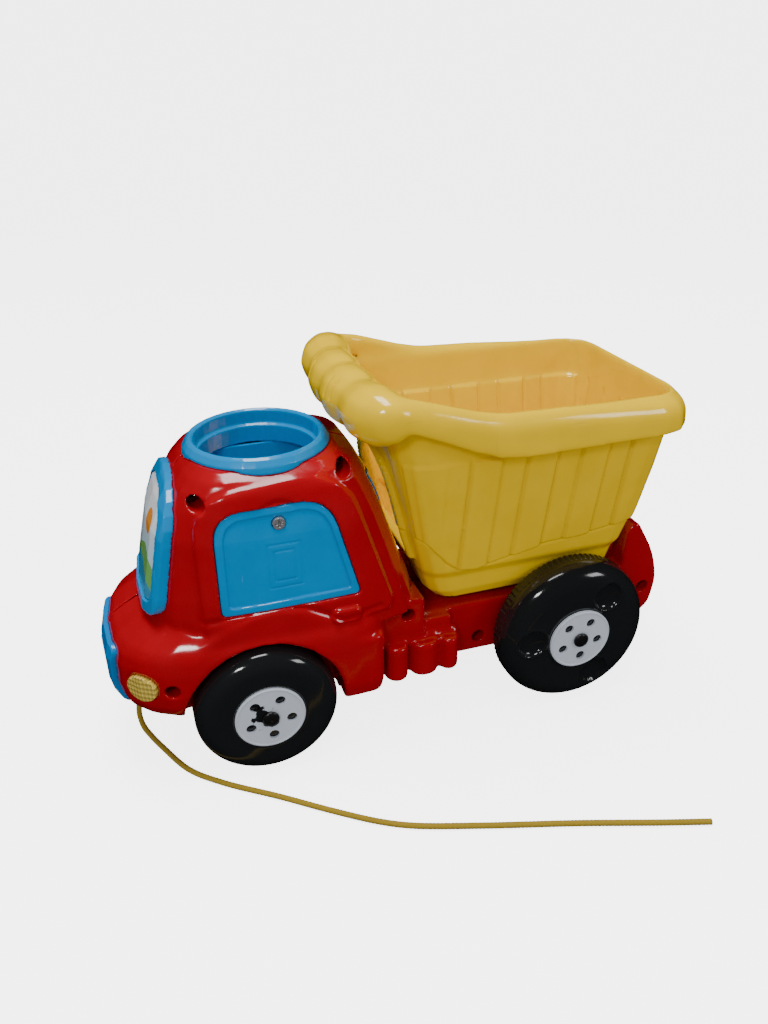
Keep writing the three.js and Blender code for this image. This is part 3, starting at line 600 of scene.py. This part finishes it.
def add_wheel(end, side_name):
    """Tyre, printed hub disc and axle cap of one wheel. Returns the nodes that they stand for."""
    spec, side = WHEELS[end], 1 if side_name == "left" else -1
    radius, face, inner, shoulder, boss = (spec[k] for k in ("radius", "face", "inner", "shoulder", "boss"))
    bend = [math.pi / 2 * k / 10 for k in range(11)]
    crown, edge = radius - shoulder, face - shoulder
    arc = [(crown + shoulder * math.sin(t), edge + shoulder * math.cos(t)) for t in bend]
    bore = AXLE_RADIUS + BORE_ROOM
    profile = [(bore, boss - 3.2), (DISC_RADIUS + 0.5, boss - 3.2), (DISC_RADIUS + 0.5, face), *arc,
               (radius, inner + 1), (radius - 1, inner), (radius - 3.4, inner), (radius - 3.4, edge),
               (crown, face - 3.2), (9, boss - 6.2), (7, inner), (bore, inner)]
    ribbed = end == "rear"
    tyre = turned(f"{end}_tyre_{side_name}", spaced(profile), spec["axle"], side,
                  RIBS * 8 if ribbed else 240, tyre_shape(spec, ribbed))
    finish_piece(tyre, f"{end}_wheel_{side_name}")
    low = boss - 2.8
    rim = [(3.7, low), (3.7, low + 1.5), (5.6, low + 1.6), (DISC_RADIUS - 1.8, low + 1.6),
           (DISC_RADIUS - 0.8, low + 2.0), (DISC_RADIUS, low + 1.5), (DISC_RADIUS, low)]
    disc = turned(f"{end}_disc_{side_name}", spaced(rim, 1.2, 0), spec["axle"], side, 160)
    for k in range(5):
        angle = DISC_HOLE["first"] + 2 * math.pi * k / 5
        middle = (spec["axle"][0] + DISC_HOLE["circle"] * math.cos(angle),
                  spec["axle"][1] + DISC_HOLE["circle"] * math.sin(angle))
        punch = rod("punch", middle, DISC_HOLE["radius"], side * (low - 2), side * (low + 4))
        hole = disc.modifiers.new("hole", "BOOLEAN")
        hole.operation = "DIFFERENCE"
        hole.solver = "EXACT"
        hole.object = punch
        baked(disc)
        bpy.data.objects.remove(punch)
    finish_piece(disc, f"{end}_hub_disc_{side_name}")
    disc.data.shade_flat()
    low = boss - 0.9
    dome = [(0.02, low)] + [(CAP_RADIUS, low), (CAP_RADIUS, low + 1)] + [
        (CAP_RADIUS * math.cos(t), low + 1 + 1.6 * math.sin(t)) for t in bend[1:-1]] + [(0.02, low + 2.6)]
    cap = turned(f"{end}_cap_{side_name}", spaced(dome, 0.5, 1), spec["axle"], side, 64)
    finish_piece(cap, f"{end}_axle_cap_{side_name}")
    return [f"{end}_{part}_{side_name}" for part in ("wheel", "hub_disc", "axle_cap")]


# ---------- pull cord ----------
CORD_RADIUS = 1.75
CORD_POINTS = (
    (156.5, 0, 38), (157, 0, 32), (158.5, 0, 25), (160.5, 0.5, 17.5), (161, 2, 10.5), (159.5, 6, 4.8),
    (156, 12.5, 2.2), (149.7, 25.6, 2), (136.3, 49.5, 2), (119, 65.7, 2), (89.7, 86.5, 2), (63.6, 106, 2),
    (41.1, 121.3, 2), (24.6, 129.6, 2), (-9.9, 140.9, 2), (-62.4, 156.3, 2), (-105.6, 170, 2),
    (-130.9, 177.6, 2),
)


def cord_route(step):
    """Points along a centripetal Catmull-Rom curve, a step apart, in metres."""
    points = [np.array(p, float) + (SHIFT, 0, 0) for p in CORD_POINTS]
    points = [2 * points[0] - points[1]] + points + [2 * points[-1] - points[-2]]
    dense = []
    for p0, p1, p2, p3 in zip(points, points[1:], points[2:], points[3:]):
        t1 = np.linalg.norm(p1 - p0) ** 0.5
        t2 = t1 + np.linalg.norm(p2 - p1) ** 0.5
        t3 = t2 + np.linalg.norm(p3 - p2) ** 0.5
        for t in np.linspace(t1, t2, 40, endpoint=False):
            a1 = p0 + (p1 - p0) * t / t1
            a2 = p1 + (p2 - p1) * (t - t1) / (t2 - t1)
            a3 = p2 + (p3 - p2) * (t - t2) / (t3 - t2)
            b1 = a1 + (a2 - a1) * t / t2
            b2 = a2 + (a3 - a2) * (t - t1) / (t3 - t1)
            dense.append(b1 + (b2 - b1) * (t - t1) / (t2 - t1))
    dense = np.array(dense + [points[-2]])
    along = np.concatenate([[0], np.cumsum(np.linalg.norm(np.diff(dense, axis=0), axis=1))])
    stops = np.linspace(0, along[-1], int(along[-1] / step) + 1)
    return np.array([np.interp(stops, along, dense[:, k]) for k in range(3)]).T * MM, along[-1] * MM


def add_cord():
    """Braided tube with its strands crossing in two directions, closed at both ends."""
    route, length = cord_route(0.6)
    ahead = np.gradient(route, axis=0)
    ahead /= np.linalg.norm(ahead, axis=1)[:, None]
    side = np.cross(ahead, (0.3, 0.1, 1.0))
    side /= np.linalg.norm(side, axis=1)[:, None]
    over = np.cross(side, ahead)
    turns = np.linspace(0, 2 * math.pi, 20, endpoint=False)
    along = np.arange(len(route))[:, None] * 0.6
    weave = np.cos(4 * turns + along * 1.5) * np.cos(4 * turns - along * 1.5)
    radius = (CORD_RADIUS * MM) * (0.97 + 0.08 * weave)
    rings = route[:, None] + radius[..., None] * (
        np.cos(turns)[None, :, None] * side[:, None] + np.sin(turns)[None, :, None] * over[:, None])
    around = len(turns)
    faces = []
    for i in range(len(route) - 1):
        for j in range(around):
            k = (j + 1) % around
            faces.append((i * around + j, i * around + k, (i + 1) * around + k, (i + 1) * around + j))
    last = (len(route) - 1) * around
    faces.append(tuple(range(around))[::-1])
    faces.append(tuple(range(last, last + around)))
    mesh = bpy.data.meshes.new("pull_cord_braid")
    mesh.from_pydata(rings.reshape(-1, 3).tolist(), [], faces)
    piece = link("pull_cord_braid", mesh)
    finish_piece(piece, "pull_cord")


# ---------- stage ----------
PAPER_GLOW = 4.0
TENT_LIGHT = 0.48
FLOOR_RADIUS, WALL_CURVE, WALL_RADIUS, WALL_TOP = 2.2, 1.4, 3.6, 2.6


def add_light(name, place, size, power):
    data = bpy.data.lights.new(name, "AREA")
    data.shape = "RECTANGLE"
    data.size, data.size_y = size
    data.energy = power
    light = bpy.data.objects.new(name, data)
    light.location = place
    light.rotation_euler = (Vector((0, 0, 0.1)) - Vector(place)).to_track_quat("-Z", "Y").to_euler()
    bpy.context.collection.objects.link(light)


def add_stage():
    """Pale glowing floor that curves up into a wall all round, with soft lights inside it."""
    rings = [(0, 0), (FLOOR_RADIUS, 0)] + [
        (FLOOR_RADIUS + WALL_CURVE * math.sin(t), WALL_CURVE - WALL_CURVE * math.cos(t))
        for t in np.linspace(0.1, 1.5, 14)] + [(WALL_RADIUS, WALL_TOP)]
    segments = 96
    turns = [2 * math.pi * k / segments for k in range(segments)]
    points = [(0, 0, 0)]
    for radius, height in rings[1:]:
        points += [(radius * math.cos(t), radius * math.sin(t), height) for t in turns]
    faces = [(0, 1 + k, 1 + (k + 1) % segments) for k in range(segments)]
    for ring in range(len(rings) - 2):
        base = 1 + ring * segments
        for k in range(segments):
            near, far = k, (k + 1) % segments
            faces.append((base + near, base + segments + near, base + segments + far, base + far))
    mesh = bpy.data.meshes.new("floor")
    mesh.from_pydata(points, [], faces)
    floor = link("floor", mesh)
    mesh.shade_smooth()
    paper = bpy.data.materials.new("paper")
    paper.use_nodes = True
    shader = paper.node_tree.nodes["Principled BSDF"]
    shader.inputs["Base Color"].default_value = (0.93, 0.93, 0.93, 1)
    shader.inputs["Roughness"].default_value = 0.95
    shader.inputs["Specular IOR Level"].default_value = 0.1
    mesh.materials.append(paper)
    shader.inputs["Emission Color"].default_value = (1, 1, 1, 1)
    shader.inputs["Emission Strength"].default_value = PAPER_GLOW
    floor.visible_glossy = False
    floor.visible_diffuse = False
    world = bpy.data.worlds.new("studio")
    world.use_nodes = True
    world.node_tree.nodes["Background"].inputs[0].default_value = (1, 1, 1, 1)
    world.node_tree.nodes["Background"].inputs[1].default_value = TENT_LIGHT
    world.cycles_visibility.glossy = False
    bpy.context.scene.world = world
    add_light("overhead", (0.1, 0.0, 1.5), (0.8, 0.5), 17)
    add_light("key", (0.8, 1.1, 1.1), (0.3, 0.2), 6)
    add_light("fill", (-1.0, 0.9, 0.7), (0.4, 0.3), 3)


# ---------- object ----------
FINISH = all_finishes()


def dress_cad_nodes(skipped):
    """CAD nodes whose shape is right keep it, with softened edges and their own finish."""
    for name, node in NODES.items():
        if name in skipped:
            continue
        node.data.materials.clear()
        node.data.materials.append(FINISH[SLOT_OF[name]])
        weld = node.modifiers.new("weld", "WELD")
        weld.merge_threshold = 1e-6
        bevel = node.modifiers.new("edge", "BEVEL")
        bevel.width = 0.25 * MM
        bevel.segments = 2
        bevel.limit_method = "ANGLE"
        bevel.angle_limit = math.radians(35)
        bevel.harden_normals = False


FINE, WIDE = 0.45, 0.75  # mm between the points of a small and of a large moulding


def build():
    """Makes every detailed piece, and dresses the nodes that no piece stands for."""
    made = {"pull_cord"}
    plans = [
        ("tipping_bed", WIDE, 3, bed_detail, (90, bed_ease)),
        ("body_shell_left", WIDE, 4, shell_detail, (40, shell_ease)),
        ("body_shell_right", WIDE, 4, shell_detail, (40, shell_ease)), ("funnel", FINE, 6, None),
        ("windscreen_frame", FINE, 4, None), ("front_grille", FINE, 2, None),
        ("battery_cover", FINE, 2, cover_detail), ("side_window_right", FINE, 2, None),
        ("headlight_left", FINE, 2, None), ("headlight_right", FINE, 2, None),
        ("windscreen_button", FINE, 2, None),
    ]
    for end in WHEELS:
        for side in ("left", "right"):
            made.update(add_wheel(end, side))
    for node, voxel, rounds, shape, *ease in plans:
        moulding(node, voxel, rounds, shape, ease=ease[0] if ease else None)
        made.add(node)
    dress_cad_nodes(made)


add_camera()
add_cord()
build()
add_stage()
